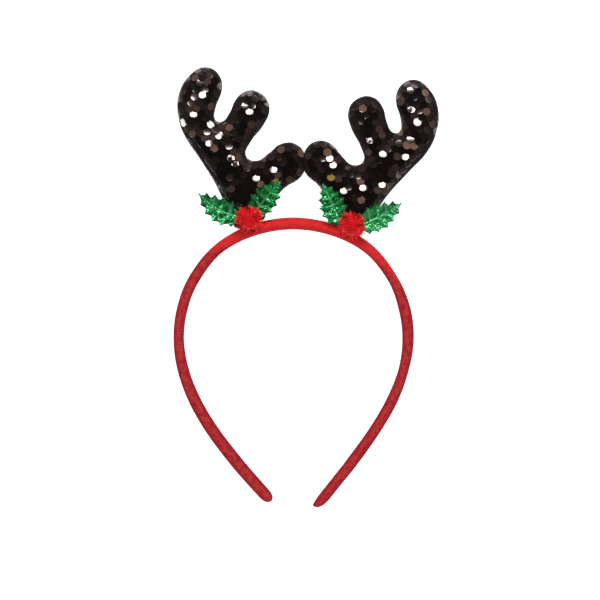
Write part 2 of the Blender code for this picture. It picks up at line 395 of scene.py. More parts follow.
@dataclass(frozen=True)
class FeltFinish:
    """Black cloth: the ground under the sequins, the antlers' backs and the feet."""

    face: Colour = (0.008, 0.006, 0.007)
    lint: Colour = (0.022, 0.018, 0.020)
    lint_scale: float = 3800.0
    worn_scale: float = 300.0
    nap_scale: float = 1400.0
    nap_depth: float = 0.00025

    def material(self) -> Material:
        """Build the material: short matted fibres that catch a little light.

        Returns:
            The black felt.
        """
        shader = Shader("black_felt")
        lint = shader.clouds(self.lint_scale, 5.0)
        wear_and_painted_shade = (shader.clouds(self.worn_scale, 2.0) * 2.4 - 0.9).clamped()
        share = (lint * 1.8 - 0.55).clamped() * (0.4 + wear_and_painted_shade * 0.6)
        nap = lint * 0.7 + shader.clouds(self.nap_scale, 2.0) * 0.3
        shader.dress(
            base_color=shader.mix(share, self.face, self.lint),
            roughness=0.86 + lint * 0.12,
            normal=shader.bump(nap, self.nap_depth, 0.8),
            specular_ior_level=0.15,
        )
        return shader.material


@dataclass(frozen=True)
class ThreadFinish:
    """Black sewing thread along the antlers' edges."""

    face: Colour = (0.012, 0.010, 0.011)
    shine: Colour = (0.022, 0.018, 0.019)
    twist_scale: float = 5200.0   # how fast the twist runs along the thread
    lay: float = 6.283            # and round it
    twist_depth: float = 0.0001

    def material(self) -> Material:
        """Build the material: a twist along the thread.

        Returns:
            The black thread.
        """
        shader = Shader("black_thread")
        along, around = shader.attribute("along"), shader.attribute("around")
        twist = (along * self.twist_scale + around * self.lay).sine() * 0.5 + 0.5
        shader.dress(
            base_color=shader.mix(twist, self.face, self.shine),
            roughness=0.55,
            normal=shader.bump(twist, self.twist_depth, 0.8),
        )
        return shader.material


@dataclass(frozen=True)
class FoilFinish:
    """Embossed green foil."""

    pit_shade: Colour = (0.001, 0.055, 0.012)
    face: Colour = (0.026, 0.400, 0.100)
    ridge: Colour = (0.200, 0.880, 0.380)
    mint_highlight: Colour = (0.420, 0.980, 0.600)
    fleck_scale: float = 1500.0
    fleck_share: float = 0.35
    crackle_scale: float = 2600.0
    crackle_depth: float = 0.00012
    vein_share: float = 0.55

    def material(self) -> Material:
        """Build the material: painted shade in the pits, painted highlights on the ridges and
        veins, finely crackled.

        Returns:
            The green foil.
        """
        shader = Shader("green_foil")
        height = shader.attribute("relief")
        flecks = (shader.clouds(self.fleck_scale, 2.0) - 0.5) * self.fleck_share
        # painted light: the relief paints shade low and highlight high, and each leaf's share
        # lightens or darkens the whole leaf for how it faces the lights
        tint = height + shader.attribute("pale") + flecks
        # painted highlight along the raised veins
        veined = shader.attribute("vein") * self.vein_share
        crackle = shader.cells(self.crackle_scale)
        stops = ((0.15, self.pit_shade), (0.50, self.face), (0.90, self.ridge), (1.0, self.mint_highlight))
        colour = shader.ramp(tint.clamped(), stops)
        shader.dress(
            base_color=shader.mix(veined, colour, self.ridge),
            roughness=0.22 + crackle * 0.12,
            metallic=0.72,
            coat_weight=0.30,
            coat_roughness=0.13,
            normal=shader.bump(crackle, self.crackle_depth, 0.18),
        )
        return shader.material


@dataclass(frozen=True)
class TinselFinish:
    """Red tinsel, with a painted glint on single strands."""

    deep: Colour = (0.26, 0.004, 0.008)
    red: Colour = (1.0, 0.016, 0.022)
    rose_glint: Colour = (1.0, 0.55, 0.45)
    glint: Colour = (1.0, 0.4, 0.36)
    scuff_scale: float = 4000.0
    root_share: float = 0.55      # painted shadow: how dark a strand is at its root, deep in the ball

    def material(self) -> Material:
        """Build the material: each strand from its tone, with painted shadow towards its root.

        Returns:
            The red tinsel.
        """
        shader = Shader("red_tinsel")
        stops = ((0.0, self.deep), (0.45, self.red), (0.93, self.red), (1.0, self.rose_glint))
        colour = shader.ramp(shader.attribute("tone"), stops)
        shadow = (1.0 - shader.attribute("root")).clamped() * self.root_share
        shader.dress(
            base_color=shader.mix(shadow, colour, self.deep),
            roughness=0.30 + shader.clouds(self.scuff_scale, 1.0) * 0.16,
            specular_ior_level=0.20,
            specular_tint=(*self.glint, 1.0),
        )
        return shader.material


# ---------------------------------------------------------------------------------------
# Modelling moves
# ---------------------------------------------------------------------------------------


class Bench:
    """Moves of Blender's own tools that several pieces need."""

    @staticmethod
    def clear() -> None:
        """Deselect everything."""
        bpy.ops.object.select_all(action="DESELECT")

    @classmethod
    def hold(cls, piece: Piece) -> None:
        """Make one piece the active and only selected one.

        Args:
            piece: the piece to hold.
        """
        cls.clear()
        piece.select_set(True)
        bpy.context.view_layer.objects.active = piece

    @staticmethod
    def named(name: str) -> Piece:
        """Name the primitive that was just added.

        Args:
            name: the name for the object and its mesh.

        Returns:
            The primitive.
        """
        piece = bpy.context.view_layer.objects.active
        piece.name = name
        piece.data.name = name
        return piece

    @classmethod
    @contextmanager
    def editing(cls, piece: Piece) -> Iterator[None]:
        """Keep a piece in edit mode for a few operators, all selected at first.

        Args:
            piece: the piece to edit.

        Yields:
            Nothing, while the piece is in edit mode.
        """
        cls.hold(piece)
        bpy.ops.object.mode_set(mode="EDIT")
        bpy.ops.mesh.select_all(action="SELECT")
        try:
            yield
        finally:
            bpy.ops.object.mode_set(mode="OBJECT")

    @staticmethod
    def pick(piece: Piece, test: Callable[[Vector], bool]) -> None:
        """Select the vertices in edit mode whose place passes the test.

        Args:
            piece: the piece in edit mode.
            test: tells for a place whether it is picked.
        """
        shell = bmesh.from_edit_mesh(piece.data)
        for vertex in shell.verts:
            vertex.select_set(test(vertex.co))
        shell.select_flush(False)
        shell.select_flush(True)
        bmesh.update_edit_mesh(piece.data)

    @classmethod
    def apply(cls, piece: Piece) -> None:
        """Apply every modifier, in order.

        Args:
            piece: the piece that carries them.
        """
        cls.hold(piece)
        for modifier in list(piece.modifiers):
            bpy.ops.object.modifier_apply(modifier=modifier.name)

    @classmethod
    def modify(cls, piece: Piece, kind: str, **settings: object) -> None:
        """Add one modifier and apply it.

        Args:
            piece: the piece to change.
            kind: the modifier's type.
            settings: its properties.
        """
        modifier = piece.modifiers.new(kind.lower(), kind)
        for name, value in settings.items():
            setattr(modifier, name, value)
        cls.apply(piece)

    @staticmethod
    def add(name: str, data: bpy.types.ID) -> Piece:
        """Put a new object with this data into the scene.

        Args:
            name: the object's name.
            data: its mesh, curve, light or camera.

        Returns:
            The object, at the origin.
        """
        piece = bpy.data.objects.new(name, data)
        bpy.context.scene.collection.objects.link(piece)
        return piece

    @classmethod
    def smooth(cls, piece: Piece, angle_deg: float = 180.0) -> None:
        """Shade smooth up to an angle."""
        cls.hold(piece)
        bpy.ops.object.shade_smooth_by_angle(angle=math.radians(angle_deg))

    @staticmethod
    def places(piece: Piece) -> np.ndarray:
        """Read where a piece's vertices are.

        Args:
            piece: the piece to read.

        Returns:
            The places, one row each.
        """
        flat = np.empty(len(piece.data.vertices) * 3, dtype=np.float32)
        piece.data.vertices.foreach_get("co", flat)
        return flat.reshape(-1, 3).astype(float)

    @staticmethod
    def move(piece: Piece, places: np.ndarray) -> None:
        """Put the vertices at new places."""
        piece.data.vertices.foreach_set("co", places.astype(np.float32).ravel())
        piece.data.update()

    @staticmethod
    def note(piece: Piece, name: str, numbers: np.ndarray) -> None:
        """Keep one number for each vertex, for a material to read."""
        layer = piece.data.attributes.new(name, "FLOAT", "POINT")
        layer.data.foreach_set("value", np.asarray(numbers, dtype=np.float32))

    @staticmethod
    def surface(piece: Piece) -> BVHTree:
        """Return a search tree of a finished piece's surface."""
        mesh = piece.data
        return BVHTree.FromPolygons(
            [vertex.co.copy() for vertex in mesh.vertices],
            [tuple(face.vertices) for face in mesh.polygons],
        )

    @classmethod
    def scatter(
        cls,
        name: str,
        pattern: Piece,
        spots: list[Matrix],
        marks: dict[str, list[float]],
    ) -> Piece:
        """Copy one modelled pattern to many spots, in one mesh, and remove the pattern.

        Args:
            name: the name of the new piece.
            pattern: the modelled shape, around its own origin.
            spots: where each copy goes.
            marks: one number for each copy, by the attribute's name.

        Returns:
            The piece that holds all copies.
        """
        places = cls.places(pattern)
        rows = np.c_[places, np.ones(len(places))]
        turns = np.array([np.array(spot) for spot in spots])
        everywhere = np.einsum("sij,vj->svi", turns, rows)[:, :, :3].reshape(-1, 3)
        faces = [tuple(face.vertices) for face in pattern.data.polygons]
        count = len(places)
        joined = [
            tuple(corner + copy * count for corner in face)
            for copy in range(len(spots))
            for face in faces
        ]
        mesh = bpy.data.meshes.new(name)
        mesh.from_pydata(everywhere.tolist(), [], joined)
        piece = cls.add(name, mesh)
        for mark, numbers in marks.items():
            cls.note(piece, mark, np.repeat(numbers, count))
        for layer in pattern.data.attributes:
            if layer.domain == "POINT" and layer.data_type == "FLOAT":
                own = np.empty(count, dtype=np.float32)
                layer.data.foreach_get("value", own)
                cls.note(piece, layer.name, np.tile(own, len(spots)))
        bpy.data.objects.remove(pattern, do_unlink=True)
        return piece

    @staticmethod
    def finish(
        piece: Piece,
        material: Material,
        slot: Slot | None,
        replaces: str | None = None,
    ) -> Piece:
        """Give a piece its material, let it ride on the headband, and hide the CAD node that it
        replaces.

        Args:
            piece: the finished piece.
            material: its finish.
            slot: not used.
            replaces: the CAD node that it stands for, if any.

        Returns:
            The same piece.
        """
        piece.data.materials.clear()
        piece.data.materials.append(material)
        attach(piece, BODY)
        if replaces:
            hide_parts(replaces)
        log.info("%s: %d faces", piece.name, len(piece.data.polygons))
        return piece


def smooth_line(points: np.ndarray, steps: int) -> np.ndarray:
    """Draw a smooth line through points.

    Args:
        points: the points, one row each.
        steps: how many steps lie between two of them.

    Returns:
        The line's points, one row each.
    """
    slopes = np.gradient(points, axis=0)
    line = []
    for start in range(len(points) - 1):
        for step in range(steps):
            t = step / steps
            line.append(
                (2 * t**3 - 3 * t**2 + 1) * points[start]
                + (t**3 - 2 * t**2 + t) * slopes[start]
                + (3 * t**2 - 2 * t**3) * points[start + 1]
                + (t**3 - t**2) * slopes[start + 1]
            )
    line.append(points[-1])
    return np.array(line)


# ---------------------------------------------------------------------------------------
# Band
# ---------------------------------------------------------------------------------------


@dataclass
class Band:
    """The wound band: ribbed satin over a strip, its ends tucked in."""

    thick: float = 0.0054
    depth: float = 0.0070
    height: float = 0.1501
    leg_extra: float = 0.0046
    saddle: float = 0.0050        # height of the centre line at the antlers
    fall: float = 0.0015          # how much lower it lies at the tips
    lift: float = 0.00015         # of the wrap's top over the solid's
    rib_height: float = 0.00005
    corners: int = 28             # round the section
    ridge_power: float = 1.80     # how sharp the front's middle ridge is
    back_power: float = 2.3
    tip_left: float = 0.0058      # length over which each tip narrows
    tip_right: float = 0.0088
    slant_left: float = 0.10      # how far each tip leans to the inner side
    slant_right: float = 0.65
    shade_line_left: Pair = (0.0445, 0.0057)   # painted shade on each leg starts this far from the top,
    shade_line_right: Pair = (0.0570, 0.0110)  # past a line that slants across the band by this much
    path: Rows = field(             # left, right, down, width on the left, on the right
        default=(
            (0.000, 0.000, 0.000, 1.19, 1.19),
            (0.363, 0.363, 0.026, 1.15, 1.15),
            (0.665, 0.665, 0.095, 1.04, 1.03),
            (0.872, 0.872, 0.203, 1.10, 0.99),
            (0.973, 0.973, 0.312, 1.06, 1.18),
            (1.000, 1.000, 0.420, 1.03, 1.13),
            (0.960, 0.960, 0.528, 1.12, 1.00),
            (0.860, 0.860, 0.637, 1.19, 1.10),
            (0.706, 0.708, 0.745, 1.23, 1.10),
            (0.505, 0.519, 0.854, 1.25, 1.12),
            (0.355, 0.381, 0.926, 1.22, 1.08),
            (0.193, 0.238, 1.000, 1.18, 1.07),
        ),
        repr=False,
    )
    steps: int = 18               # of the centre line, between two rows of the path
    tip_power: float = 2.4        # how blunt the tips are
    pleats: int = 7               # round each tip
    pleat_depth: float = 0.10
    arch_shade_span: Pair = (0.018, 0.022)   # painted shade on the arch starts this far from the top, and grows over
    arch_shade_most: float = 0.32           # this length, up to this share, before the legs' painted shade takes over
    shade_line_blur: float = 0.0025     # length over which the legs' painted shade sets in
    inner_shade: float = 0.55      # painted shade on the inner side, as a share

    def centre_line(self) -> np.ndarray:
        """Draw the band's centre line in the headband's frame.

        Returns:
            The line's points from the left tip to the right one.
        """
        low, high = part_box("band")
        half_span = (high.x - low.x - self.thick) / 2
        drop = self.height - self.thick / 2
        rows = np.array(self.path)
        left = np.c_[-rows[:, 0] * half_span, -rows[:, 2] * drop]
        right = np.c_[rows[:, 1] * half_span, -rows[:, 2] * drop]
        way = right[-1] - right[-2]
        right[-1] += way / np.linalg.norm(way) * self.leg_extra
        line = smooth_line(np.vstack((left[::-1], right[1:])), self.steps)
        fallen = np.clip(line[:, 1] / line[:, 1].min(), 0.0, 1.0)
        line += ((low.x + high.x) / 2, high.y - self.thick / 2 + self.lift)
        return np.c_[line, self.saddle - self.fall * fallen]

    def widen(self, piece: Piece, line: np.ndarray) -> None:
        """Give the straight wrap its own width at each place along the band.

        Args:
            piece: the straight wrap.
            line: the band's centre line.
        """
        places = Bench.places(piece)
        rows = np.array(self.path)
        steps = np.linalg.norm(np.diff(line, axis=0), axis=1)
        knots = np.r_[0.0, np.cumsum(steps)][:: self.steps]
        wide = np.r_[rows[::-1, 3], rows[1:, 4]]
        places[:, 1] *= np.interp(places[:, 0], knots, wide)
        Bench.move(piece, places)

    def mark(self, piece: Piece, length: float) -> None:
        """Note where the satin gets painted shade, towards the arch's ends, on the legs and on the
        inner side, and how near its edges are.

        Args:
            piece: the straight wrap.
            length: how long it is.
        """
        places = Bench.places(piece)
        across = np.clip(places[:, 1] / (self.thick / 2), -1.0, 1.0)
        from_top = places[:, 0] - length / 2
        start, reach = self.arch_shade_span
        # painted shade: darker satin towards the arch's ends, past the slanted lines on the legs,
        # and on the inner side
        wear_and_painted_shade = self.arch_shade_most * np.clip((np.abs(from_top) - start) / reach, 0.0, 1.0)
        for side, (start, slant) in ((Side.LEFT, self.shade_line_left), (Side.RIGHT, self.shade_line_right)):
            beyond = from_top * side.value - start - slant * across
            wear_and_painted_shade = np.maximum(wear_and_painted_shade, np.clip(beyond / self.shade_line_blur + 0.5, 0.0, 1.0))
        wear_and_painted_shade = np.maximum(wear_and_painted_shade, self.inner_shade * np.clip(0.15 - across, 0.0, 1.0))
        Bench.note(piece, "wear_and_painted_shade", wear_and_painted_shade)
        Bench.note(piece, "across", across)
        Bench.note(piece, "along", places[:, 0])

    def guide(self, line: np.ndarray) -> Piece:
        """Make the curve that the straight wrap is bent along.

        Args:
            line: the band's centre line.

        Returns:
            The curve.
        """
        data = bpy.data.curves.new("band_guide", "CURVE")
        data.dimensions = "3D"
        data.twist_mode = "Z_UP"
        spline = data.splines.new("POLY")
        spline.points.add(len(line) - 1)
        spline.points.foreach_set("co", np.c_[line, np.ones(len(line))].ravel())
        return Bench.add("band_guide", data)

    def one_rib(self) -> Piece:
        """Model one rib of the wrap: a short tube that stands out in its middle.

        Returns:
            The rib, at the wrap's start.
        """
        Bench.clear()
        bpy.ops.mesh.primitive_circle_add(
            vertices=self.corners, radius=1.0, fill_type="NOTHING", rotation=(0, math.pi / 2, 0)
        )
        piece = Bench.named("band_wrap")
        bpy.ops.object.transform_apply(location=False, rotation=True, scale=False)
        places = Bench.places(piece)
        angles = np.arctan2(places[:, 2], places[:, 1])
        power = np.where(places[:, 2] > 0, self.ridge_power, self.back_power)
        reach = (np.abs(np.cos(angles)) ** power + np.abs(np.sin(angles)) ** power) ** (-1 / power)
        places[:, 0] = 0.0
        places[:, 1] = np.cos(angles) * reach * self.thick / 2
        places[:, 2] = np.sin(angles) * reach * self.depth / 2
        Bench.move(piece, places)
        grow = 1 + 2 * self.rib_height / self.thick
        with Bench.editing(piece):
            for share in (grow, 1 / grow):
                bpy.ops.mesh.extrude_region_move(
                    TRANSFORM_OT_translate={"value": (RIB / 2, 0.0, 0.0)}
                )
                bpy.ops.transform.resize(value=(1.0, share, share), center_override=(0.0, 0.0, 0.0))
        return piece

    def shape_tips(self, piece: Piece, length: float) -> None:
        """Round both ends of the straight wrap, and tuck small pleats into them.

        Args:
            piece: the straight wrap.
            length: how long it is.
        """
        places = Bench.places(piece)
        for tip, slant, end in (
            (self.tip_left, self.slant_left, 0.0),
            (self.tip_right, self.slant_right, length),
        ):
            away = np.clip(np.abs(places[:, 0] - end) / tip, 0.0, 1.0)
            share = np.sqrt(np.clip(1 - (1 - away) ** self.tip_power, 0.0004, 1.0))
            angle = np.arctan2(places[:, 2], places[:, 1])
            wave = 0.5 + 0.5 * np.sin(angle * self.pleats)
            pleat = 1 - self.pleat_depth * (1 - away) * wave
            inner = -slant * (1 - share) * self.thick / 2
            places[:, 1] = places[:, 1] * share * pleat + inner
            places[:, 2] *= share * pleat
        Bench.move(piece, places)

    def build(self, material: Material) -> Piece:
        """Build the wrap and put it in the CAD band's place.

        Args:
            material: the satin.

        Returns:
            The wrap.
        """
        line = self.centre_line()
        length = float(np.linalg.norm(np.diff(line, axis=0), axis=1).sum())
        piece = self.one_rib()
        count = round(length / RIB)
        Bench.modify(
            piece,
            "ARRAY",
            fit_type="FIXED_COUNT",
            count=count,
            use_relative_offset=False,
            use_constant_offset=True,
            constant_offset_displace=(length / count, 0.0, 0.0),
            use_merge_vertices=True,
            merge_threshold=RIB / 8,
        )
        self.mark(piece, length)
        self.widen(piece, line)
        self.shape_tips(piece, length)
        with Bench.editing(piece):
            bpy.ops.mesh.select_all(action="DESELECT")
            bpy.ops.mesh.select_non_manifold()
            bpy.ops.mesh.edge_face_add()
            bpy.ops.mesh.select_all(action="SELECT")
            bpy.ops.mesh.normals_make_consistent(inside=False)
        guide = self.guide(line)
        Bench.modify(piece, "CURVE", object=guide)
        bpy.data.objects.remove(guide, do_unlink=True)
        Bench.smooth(piece, 60.0)
        return Bench.finish(piece, material, Slot.SATIN, "band")


# ---------------------------------------------------------------------------------------
# Antlers
# ---------------------------------------------------------------------------------------


@dataclass
class Antler:
    """One padded antler with its seam and its rows of sequins."""

    side: Side
    foot: Pair                    # where it sits astride the band
    turn_deg: float               # from upright, as the whole antler leans
    row_deg: float                # slope of the sequin rows
    seed: int                     # of its random draws
    swollen: float = 0.0016       # the most that the padding moves the cloth
    voxel: float = 0.0009
    slim: float = 0.90            # thickness before it swells, as a share
    foot_reach: float = 0.0130    # the sewn foot keeps its shape up to here
    bed: float = 0.0094           # front of the cloth where leaves and berry lie
    bed_reach: float = 0.0340
    meet_x: float = BAND_AXIS_X + 0.0054
    sequin: float = 0.0044
    pitch: float = 0.0039
    row_gap: float = 0.0032
    sequin_thick: float = 0.00012
    slope_deg: float = 5.0        # each row lies on the next one down
    roll_deg: float = 3.0         # each sequin lies on its neighbour
    loose_deg: float = 3.5        # how unevenly they are sewn on
    steepest_deg: float = 31.0    # no sequin leans further than this over the edge
    tipped_block: tuple[int, int] = (4, 3)   # one in so many rows and columns hangs loose
    tipped_deg: Pair = (20.4, 2.1)   # how far those tip forward and sideways
    tipped_share: float = 0.3     # how much of the unevenness they keep
    tipped_level: float = 0.8     # they need cloth whose normal has more Z than this
    tipped_upward: float = 0.12   # and less Y than this
    alike_deg: float = 5.0        # others that lie as the loose ones do
    tucked_deg: float = 7.0       # are tucked in by this much
    shake: float = 0.00025        # how far each is sewn beside its place
    edge_level: float = 0.42      # steeper cloth, by its normal's Z, has no sequins
    first_row: float = 0.004      # nor has the foot below this
    # how far a sequin is sewn off the cloth: always, more on level cloth, more if it is loose
    raised: tuple[float, float, float] = (0.00020, 0.00015, 0.00045)
    # how far any part of it may then stand off: always, and more on level cloth
    stand_off: Pair = (0.00028, 0.00150)
    # it bends round the edge where the cloth's normal has less Z than this, over this much
    bending: Pair = (0.93, 0.10)
    pressed: float = 0.0102       # their top under leaves and berry
    rim: float = 0.18             # a sequin's rim, as a share of its radius
    dish: float = 0.12            # and how far its middle is dished, as a share of that
    # the near-white flashes and the warmer light discs are painted reflections of the lights
    painted_flash: Pair = (0.995, 0.97)   # draws above the first get the second, the
    gold: Pair = (0.992, 0.80)    # colour's tone
    tan: Pair = (0.962, 0.63)
    reflection_cap: float = 0.62        # highest tone of all others, random tone and painted reflection together
    pressure: float = 4.0         # of the padding on the cloth
    puff_scale: float = 10.0      # the padding swells at so many times its size
    puff_frames: int = 20
    puff_sideways: float = 0.2    # share of the swelling that widens the outline
    bed_blend: float = 0.012      # beyond the bed the cloth rises over this length
    bed_rise: float = 0.0035
    bed_press: float = 0.85       # share by which cloth that stands too high is pressed
    meet_gap: float = 0.00015     # half the gap between the two antlers
    upright: float = 0.75         # cloth whose normal has less Z is the edge
    # the foot draws in by a share, below a height, over a length
    waists: Rows = ((0.36, 0.0100, 0.005), (0.30, 0.0030, 0.004))
    seam_height: float = 0.0046
    seam_start: float = 0.6       # as a share of foot_reach
    seam_radius: float = 0.00042

    @property
    def name(self) -> str:
        """The CAD node that the padding replaces."""
        return f"antler_{self.side.word}"

    def up(self, places: np.ndarray) -> np.ndarray:
        """Return how far points lie above the foot, along the antler."""
        turn = math.radians(self.turn_deg)
        return (places[:, 0] - self.foot[0]) * -math.sin(turn) + (
            places[:, 1] - self.foot[1]
        ) * math.cos(turn)

    def swell(self, piece: Piece) -> None:
        """Blow the cloth up with its padding, on a larger copy, and take the result.

        Args:
            piece: the padding, before it swells.
        """
        before = Bench.places(piece)
        piece.data.transform(Matrix.Scale(self.puff_scale, 4))
        held = piece.vertex_groups.new(name="held")
        foot = self.up(before) < self.foot_reach
        held.add([int(number) for number in np.flatnonzero(foot)], 1.0, "REPLACE")
        cloth = piece.modifiers.new("padding", "CLOTH")
        settings = cloth.settings
        settings.quality = 6
        settings.use_pressure = True
        settings.uniform_pressure_force = self.pressure
        settings.vertex_group_mass = "held"
        settings.effector_weights.gravity = 0.0
        cloth.collision_settings.use_collision = False
        cloth.point_cache.frame_start = 1
        cloth.point_cache.frame_end = self.puff_frames
        for number in range(1, self.puff_frames + 1):
            bpy.context.scene.frame_set(number)
        Bench.apply(piece)
        after = Bench.places(piece) / self.puff_scale
        moved = (after - before) * (self.puff_sideways, self.puff_sideways, 1.0)
        far = np.linalg.norm(moved, axis=1, keepdims=True)
        after = before + moved * np.minimum(1.0, self.swollen / np.maximum(far, 1e-9))
        Bench.move(piece, after)
        piece.vertex_groups.clear()
        bpy.context.scene.frame_set(1)

    def fit(self, piece: Piece, node: BVHTree) -> None:
        """Keep the padding clear of the floor, the other antler, the band and the leaves.

        Args:
            piece: the swollen padding.
            node: the CAD solid's surface.
        """
        places = Bench.places(piece)
        height = self.up(places)
        for number in np.flatnonzero(height < self.foot_reach):
            places[number] = node.find_nearest(Vector(places[number]))[0]
        self.narrow_foot(places, height)
        blend = np.clip((height - self.bed_reach) / self.bed_blend, 0.0, 1.0)
        top = self.bed + blend * self.bed_rise
        over = np.maximum(places[:, 2] - top, 0.0)
        places[:, 2] -= over * self.bed_press
        places[:, 2] = np.maximum(places[:, 2], FLOOR_ROOM)
        side = self.side.value
        limit = self.meet_x + side * self.meet_gap
        near_middle = (places[:, 0] - limit) * side < 0
        places[near_middle, 0] = limit
        Bench.move(piece, places)

    def regain(self, piece: Piece, node: BVHTree) -> None:
        """Give the edge back the outline that smoothing took, and rest the back on the floor.

        Args:
            piece: the smoothed padding.
            node: the CAD solid's surface.
        """
        places = Bench.places(piece)
        upright = np.array([abs(vertex.normal.z) for vertex in piece.data.vertices])
        for number in np.flatnonzero(upright < self.upright):
            spot = node.find_nearest(Vector(places[number]))[0]
            share = min(1.0, 1.6 * (1 - upright[number] / self.upright))
            places[number, :2] += (np.array(spot) - places[number])[:2] * share
        places[:, 2] = np.maximum(places[:, 2], FLOOR_ROOM)
        Bench.move(piece, places)

    def narrow_foot(self, places: np.ndarray, height: np.ndarray) -> None:
        """Draw the foot in towards its middle, where it is sewn round the band.

        Args:
            places: the padding's vertices, moved in place.
            height: how far each lies above the foot.
        """
        turn = math.radians(self.turn_deg)
        way = np.array((math.cos(turn), math.sin(turn)))
        across = (places[:, :2] - self.foot) @ way
        drawn = np.zeros(len(places))
        for share, top, length in self.waists:
            drawn += share * np.clip((top - height) / length, 0.0, 1.0)
        places[:, :2] -= (across * drawn)[:, None] * way

    def padding(self, material: Material) -> Piece:
        """Build the padded body from a copy of the CAD solid.

        Args:
            material: the felt.

        Returns:
            The padding.
        """
        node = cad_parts[self.name]
        piece = Bench.add(self.name + "_padding", node.data.copy())
        with Bench.editing(piece):
            bpy.ops.mesh.remove_doubles(threshold=0.00001)
        tree = Bench.surface(piece)
        places = Bench.places(piece)
        middle = places[:, 2].max() / 2
        lifted = self.up(places) > self.foot_reach
        places[lifted, 2] = middle + (places[lifted, 2] - middle) * self.slim
        Bench.move(piece, places)
        Bench.modify(piece, "REMESH", mode="VOXEL", voxel_size=self.voxel)
        self.swell(piece)
        self.fit(piece, tree)
        Bench.modify(piece, "SMOOTH", factor=0.5, iterations=3)
        Bench.modify(piece, "SUBSURF", levels=1, render_levels=1)
        self.regain(piece, tree)
        Bench.smooth(piece)
        Bench.finish(piece, material, Slot.SEQUINS, self.name)
        return piece

    def seam(self, padding: Piece, material: Material) -> Piece:
        """Sew the edge: a thread along the line where the padding is cut at mid-height.

        Args:
            padding: the finished padding.
            material: the thread.

        Returns:
            The seam.
        """
        piece = Bench.add(self.name + "_seam", padding.data.copy())
        piece.data.materials.clear()
        with Bench.editing(piece):
            bpy.ops.mesh.bisect(
                plane_co=(0, 0, self.seam_height),
                plane_no=(0, 0, 1),
                clear_inner=True,
                clear_outer=True,
            )
            start = self.foot_reach * self.seam_start
            Bench.pick(piece, lambda place: self.up(np.array([place]))[0] < start)
            bpy.ops.mesh.delete(type="VERT")
        Bench.hold(piece)
        bpy.ops.object.convert(target="CURVE")
        data = piece.data
        data.bevel_depth = self.seam_radius
        data.bevel_resolution = 2
        data.use_fill_caps = True
        bpy.ops.object.convert(target="MESH")
        piece = bpy.context.view_layer.objects.active
        places = Bench.places(piece)
        Bench.note(piece, "along", places[:, 0] + places[:, 1])
        Bench.note(piece, "around", places[:, 2] * 1000.0)
        Bench.smooth(piece)
        return Bench.finish(piece, material, None)

    def one_sequin(self) -> Piece:
        """Model one sequin: a thin disc with a slightly dished rim.

        Returns:
            The sequin, around its own middle.
        """
        Bench.clear()
        bpy.ops.mesh.primitive_circle_add(vertices=16, radius=self.sequin / 2, fill_type="NGON")
        piece = Bench.named("sequin")
        rim = self.sequin / 2 * self.rim
        with Bench.editing(piece):
            bpy.ops.mesh.inset(thickness=rim)
            bpy.ops.transform.translate(value=(0, 0, -rim * self.dish))
        Bench.modify(piece, "SOLIDIFY", thickness=self.sequin_thick, offset=1.0)
        return piece

    def sequins(self, padding: Piece, material: Material) -> Piece:
        """Sew the sequins on in rows, each row over the one below it.

        Args:
            padding: the finished padding.
            material: the lacquer.

        Returns:
            All sequins, as one piece.
        """
        draw = np.random.default_rng(self.seed)
        tree = Bench.surface(padding)
        places = Bench.places(padding)
        low, high = places.min(axis=0), places.max(axis=0)
        middle = (low + high)[:2] / 2
        reach = float(np.linalg.norm(high - low)) / 2
        slope = Matrix.Rotation(math.radians(self.row_deg), 4, "Z")
        spots, tones = [], []
        rows = int(reach / self.row_gap)
        columns = int(reach / self.pitch)
        high_block, wide_block = self.tipped_block
        picked = draw.integers(0, high_block * wide_block, (2 * rows + 2, 2 * columns + 2))
        down = Vector((0.0, 0.0, -1.0))
        for row in range(-rows, rows + 1):
            for column in range(-columns, columns + 1):
                across = (column + 0.5 * (row % 2)) * self.pitch
                place = slope @ Vector((across, row * self.row_gap, 0.0))
                nudge = Vector(draw.uniform(-self.shake, self.shake, 2)).to_3d()
                leans = draw.normal(0.0, self.loose_deg, 2)
                block = picked[(row + rows) // high_block, (column + columns) // wide_block]
                own = (row + rows) % high_block * wide_block + (column + columns) % wide_block
                tone = draw.random()
                start = place + nudge + Vector((middle[0], middle[1], OVERHEAD))
                hit, normal, _, _ = tree.ray_cast(start, down)
                if hit is None or normal.z < self.edge_level:
                    continue
                if self.up(np.array([hit]))[0] < self.first_row:
                    continue
                turn = self.leaning(normal) @ slope
                lean = Matrix.Rotation(math.radians(-self.slope_deg + leans[0]), 4, "X")
                roll = Matrix.Rotation(math.radians(self.roll_deg + leans[1]), 4, "Y")
                level = normal.z > self.tipped_level and normal.y < self.tipped_upward
                tipped = block == own and level
                if tipped:
                    forward, sideways = self.tipped_deg
                    forward = -forward + leans[0] * self.tipped_share
                    turn = Matrix.Rotation(math.radians(forward), 4, "X")
                    lean = Matrix.Identity(4)
                    sideways = sideways * -self.side.value + leans[1] * self.tipped_share
                    roll = Matrix.Rotation(math.radians(sideways), 4, "Y")
                always, more, loose = self.raised
                raised = always + more * normal.z + loose * tipped
                lift = Matrix.Translation(hit + normal * raised)
                pose = turn @ lean @ roll
                if not tipped and tone < 0.9 and self.is_tipped(pose):
                    pose = Matrix.Rotation(math.radians(-self.tucked_deg), 4, "X") @ pose
                spots.append(lift @ pose)
                tones.append(self.tone(tone, normal))
        piece = Bench.scatter(self.name + "_sequins", self.one_sequin(), spots, {"tone": tones})
        self.lay_down(piece, tree, len(spots))
        Bench.smooth(piece, 25.0)
        return Bench.finish(piece, material, Slot.SEQUINS)

